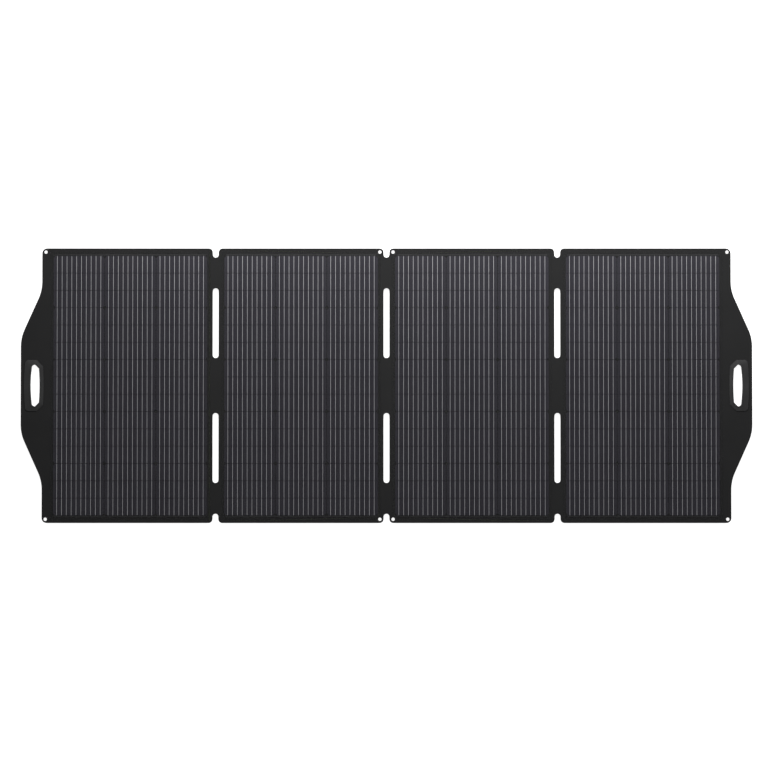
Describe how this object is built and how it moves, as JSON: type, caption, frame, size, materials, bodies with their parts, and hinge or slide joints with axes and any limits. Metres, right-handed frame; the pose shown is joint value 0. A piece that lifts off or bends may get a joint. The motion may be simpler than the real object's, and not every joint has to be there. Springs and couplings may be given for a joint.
{
  "type": "folding solar panel",
  "caption": "Portable solar panel of four cloth-hinged cell sections, with carry handles at both ends and folding legs behind.",
  "frame": {"origin": "on the ground under the middle of the open panel, which lies flat with its cells up", "axes": "+X along the row of sections, +Y up the sections, +Z out of the cell side"},
  "size_m": [2.62, 0.984, 0.0176],
  "materials": {
    "back_cloth": "coated polyester weave, matt",
    "board": "glass-fibre sheet",
    "face_cloth": "fine coated weave, matt",
    "cells": "dark silicon, satin",
    "ribbon": "tinned ribbon, satin",
    "film": "clear film, soft gloss",
    "eyelet": "black enamel",
    "moulding": "fine spark texture",
    "rod": "powder coat",
    "rubber": "matt",
    "core": "sheet plastic",
    "grip": "satin moulded",
    "screw": "zinc",
    "gland": "moulded nylon",
    "diode": "epoxy",
    "pocket": "polyester weave",
    "zip_metal": "dark nickel"
  },
  "bodies": {
    "section_1": {"back_cloth_1": "back_cloth", "board_1": "board", "face_cloth_1": "face_cloth", "cells_1": "cells", "ribbons_1": "ribbon", "film_1": "film", "leg_mounts_1": "moulding", "web_1": "face_cloth"},
    "section_2": {"back_cloth_2": "back_cloth", "board_2": "board", "face_cloth_2": "face_cloth", "cells_2": "cells", "ribbons_2": "ribbon", "film_2": "film", "eyelets_2": "eyelet", "leg_mounts_2": "moulding"},
    "section_3": {"back_cloth_3": "back_cloth", "board_3": "board", "face_cloth_3": "face_cloth", "cells_3": "cells", "ribbons_3": "ribbon", "film_3": "film", "eyelets_3": "eyelet", "leg_mounts_3": "moulding", "web_3": "face_cloth"},
    "section_4": {"back_cloth_4": "back_cloth", "board_4": "board", "face_cloth_4": "face_cloth", "cells_4": "cells", "ribbons_4": "ribbon", "film_4": "film", "leg_mounts_4": "moulding", "junction_base": "moulding", "junction_lid": "moulding", "junction_gland": "gland", "junction_screws": "screw", "bypass_diodes": "diode", "cable_pocket": "pocket"},
    "spine": {"web_2": "face_cloth"},
    "zip_slider": {"zip_slider": "zip_metal"},
    "leg_1": {"leg_1": "rod", "leg_feet_1": "rubber"},
    "leg_2": {"leg_2": "rod", "leg_feet_2": "rubber"},
    "leg_3": {"leg_3": "rod", "leg_feet_3": "rubber"},
    "leg_4": {"leg_4": "rod", "leg_feet_4": "rubber"},
    "flap_left": {"flap_cover_left": "face_cloth", "flap_core_left": "core", "grip_front_left": "grip", "grip_back_left": "grip", "grip_screws_left": "screw", "eyelets_1": "eyelet"},
    "flap_right": {"flap_cover_right": "face_cloth", "flap_core_right": "core", "grip_front_right": "grip", "grip_back_right": "grip", "grip_screws_right": "screw", "eyelets_4": "eyelet"}
  },
  "joints": [
    {"name": "fold_1", "type": "hinge", "parent": "section_2", "child": "section_1", "pos_m": [-0.612, 0, 0.0167], "axis": [0, 1, 0], "range_deg": [0, 180], "deforming": ["web_1"]},
    {"name": "fold_2_near", "type": "hinge", "parent": "section_2", "child": "spine", "pos_m": [-0.0152, 0, 0.0136], "axis": [0, -1, 0], "range_deg": [-90, 0], "deforming": ["web_2"]},
    {"name": "fold_2", "type": "hinge", "parent": "spine", "child": "section_3", "pos_m": [0.0152, 0, 0.0136], "axis": [0, -1, 0], "range_deg": [-90, 0], "deforming": ["web_2"]},
    {"name": "fold_3", "type": "hinge", "parent": "section_3", "child": "section_4", "pos_m": [0.612, 0, 0.0167], "axis": [0, 1, 0], "range_deg": [-180, 0], "deforming": ["web_3"]},
    {"name": "flap_left", "type": "hinge", "parent": "section_1", "child": "flap_left", "pos_m": [-1.21, 0, 0.0122], "axis": [0, -1, 0], "range_deg": [-45, 45], "stiffness_Nm_per_rad": 5, "deforming": ["flap_cover_left"]},
    {"name": "flap_right", "type": "hinge", "parent": "section_4", "child": "flap_right", "pos_m": [1.21, 0, 0.0122], "axis": [0, 1, 0], "range_deg": [-45, 45], "stiffness_Nm_per_rad": 5, "deforming": ["flap_cover_right"]},
    {"name": "leg_1_hinge", "type": "hinge", "parent": "section_1", "child": "leg_1", "pos_m": [-0.918, 0.13, 0.005], "axis": [1, 0, 0], "range_deg": [0, 60]},
    {"name": "leg_2_hinge", "type": "hinge", "parent": "section_2", "child": "leg_2", "pos_m": [-0.306, 0.13, 0.005], "axis": [1, 0, 0], "range_deg": [0, 60]},
    {"name": "leg_3_hinge", "type": "hinge", "parent": "section_3", "child": "leg_3", "pos_m": [0.306, 0.13, 0.005], "axis": [1, 0, 0], "range_deg": [0, 60]},
    {"name": "leg_4_hinge", "type": "hinge", "parent": "section_4", "child": "leg_4", "pos_m": [0.918, 0.13, 0.005], "axis": [1, 0, 0], "range_deg": [0, 60]},
    {"name": "zip_slide", "type": "slide", "parent": "section_4", "child": "zip_slider", "axis": [1, 0, 0], "range_m": [0, 0.24]}
  ],
  "couplings": [
    {"joint": "fold_2_near", "follows": "fold_2", "ratio": 1}
  ]
}
